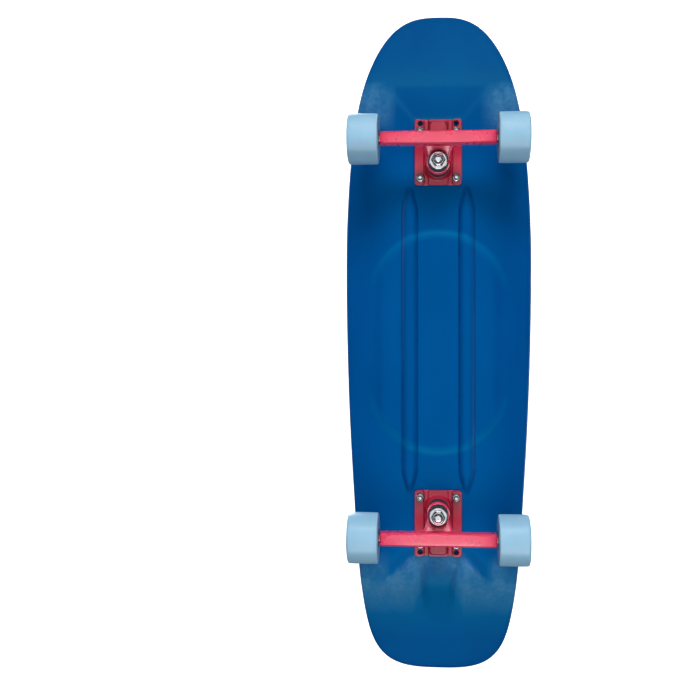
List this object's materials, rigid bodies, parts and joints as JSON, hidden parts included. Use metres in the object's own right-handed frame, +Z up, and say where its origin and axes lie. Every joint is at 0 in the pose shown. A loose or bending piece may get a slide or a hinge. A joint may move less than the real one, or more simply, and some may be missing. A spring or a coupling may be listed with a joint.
{
  "type": "cruiser skateboard",
  "caption": "Moulded plastic cruiser skateboard with kicked nose and tail, kingpin trucks that lean on bushings, and bearing-mounted wheels.",
  "frame": {"origin": "on the floor under the middle of the deck's plan", "axes": "+Z up, nose towards -Y, the board's left side +X"},
  "size_m": [0.2176, 0.7836, 0.1229],
  "materials": {
    "deck_plastic": "satin",
    "truck_paint": "satin",
    "chrome_steel": "gloss",
    "zinc_steel": "satin",
    "wheel_urethane": "satin",
    "bushing_urethane": "satin"
  },
  "bodies": {
    "board": {"deck": "deck_plastic", "front_baseplate": "truck_paint", "front_pivot_cup": "bushing_urethane", "front_kingpin": "chrome_steel", "front_board_bushing": "bushing_urethane", "front_road_bushing": "bushing_urethane", "front_cup_washer": "chrome_steel", "front_kingpin_nut": "chrome_steel", "front_deck_bolt_inner_left": "zinc_steel", "front_deck_bolt_inner_right": "zinc_steel", "front_deck_bolt_outer_left": "zinc_steel", "front_deck_bolt_outer_right": "zinc_steel", "front_lock_nut_inner_left": "zinc_steel", "front_lock_nut_inner_right": "zinc_steel", "front_lock_nut_outer_left": "zinc_steel", "front_lock_nut_outer_right": "zinc_steel", "rear_baseplate": "truck_paint", "rear_pivot_cup": "bushing_urethane", "rear_kingpin": "chrome_steel", "rear_board_bushing": "bushing_urethane", "rear_road_bushing": "bushing_urethane", "rear_cup_washer": "chrome_steel", "rear_kingpin_nut": "chrome_steel", "rear_deck_bolt_inner_left": "zinc_steel", "rear_deck_bolt_inner_right": "zinc_steel", "rear_deck_bolt_outer_left": "zinc_steel", "rear_deck_bolt_outer_right": "zinc_steel", "rear_lock_nut_inner_left": "zinc_steel", "rear_lock_nut_inner_right": "zinc_steel", "rear_lock_nut_outer_left": "zinc_steel", "rear_lock_nut_outer_right": "zinc_steel"},
    "front_truck": {"front_hanger": "truck_paint", "front_axle": "zinc_steel", "front_left_inner_washer": "zinc_steel", "front_left_outer_washer": "zinc_steel", "front_left_axle_nut": "zinc_steel", "front_right_inner_washer": "zinc_steel", "front_right_outer_washer": "zinc_steel", "front_right_axle_nut": "zinc_steel"},
    "rear_truck": {"rear_hanger": "truck_paint", "rear_axle": "zinc_steel", "rear_left_inner_washer": "zinc_steel", "rear_left_outer_washer": "zinc_steel", "rear_left_axle_nut": "zinc_steel", "rear_right_inner_washer": "zinc_steel", "rear_right_outer_washer": "zinc_steel", "rear_right_axle_nut": "zinc_steel"},
    "front_left_wheel_body": {"front_left_wheel": "wheel_urethane", "front_left_inner_bearing": "chrome_steel", "front_left_outer_bearing": "chrome_steel"},
    "front_right_wheel_body": {"front_right_wheel": "wheel_urethane", "front_right_inner_bearing": "chrome_steel", "front_right_outer_bearing": "chrome_steel"},
    "rear_left_wheel_body": {"rear_left_wheel": "wheel_urethane", "rear_left_inner_bearing": "chrome_steel", "rear_left_outer_bearing": "chrome_steel"},
    "rear_right_wheel_body": {"rear_right_wheel": "wheel_urethane", "rear_right_inner_bearing": "chrome_steel", "rear_right_outer_bearing": "chrome_steel"}
  },
  "joints": [
    {"name": "front_truck_steer", "type": "hinge", "parent": "board", "child": "front_truck", "pos_m": [0, -0.2435, 0.06382], "axis": [0, 0.9094, -0.4159], "range_deg": [-12, 12], "stiffness_Nm_per_rad": 40, "deforming": ["front_board_bushing", "front_road_bushing"]},
    {"name": "rear_truck_steer", "type": "hinge", "parent": "board", "child": "rear_truck", "pos_m": [0, 0.2325, 0.06382], "axis": [0, -0.9094, -0.4159], "range_deg": [-12, 12], "stiffness_Nm_per_rad": 40, "deforming": ["rear_board_bushing", "rear_road_bushing"]},
    {"name": "front_left_wheel_spin", "type": "hinge", "parent": "front_truck", "child": "front_left_wheel_body", "pos_m": [0.0831, -0.2275, 0.02782], "axis": [1, 0, 0], "continuous": true},
    {"name": "front_right_wheel_spin", "type": "hinge", "parent": "front_truck", "child": "front_right_wheel_body", "pos_m": [-0.0831, -0.2275, 0.02782], "axis": [1, 0, 0], "continuous": true},
    {"name": "rear_left_wheel_spin", "type": "hinge", "parent": "rear_truck", "child": "rear_left_wheel_body", "pos_m": [0.0831, 0.2165, 0.02782], "axis": [1, 0, 0], "continuous": true},
    {"name": "rear_right_wheel_spin", "type": "hinge", "parent": "rear_truck", "child": "rear_right_wheel_body", "pos_m": [-0.0831, 0.2165, 0.02782], "axis": [1, 0, 0], "continuous": true}
  ]
}
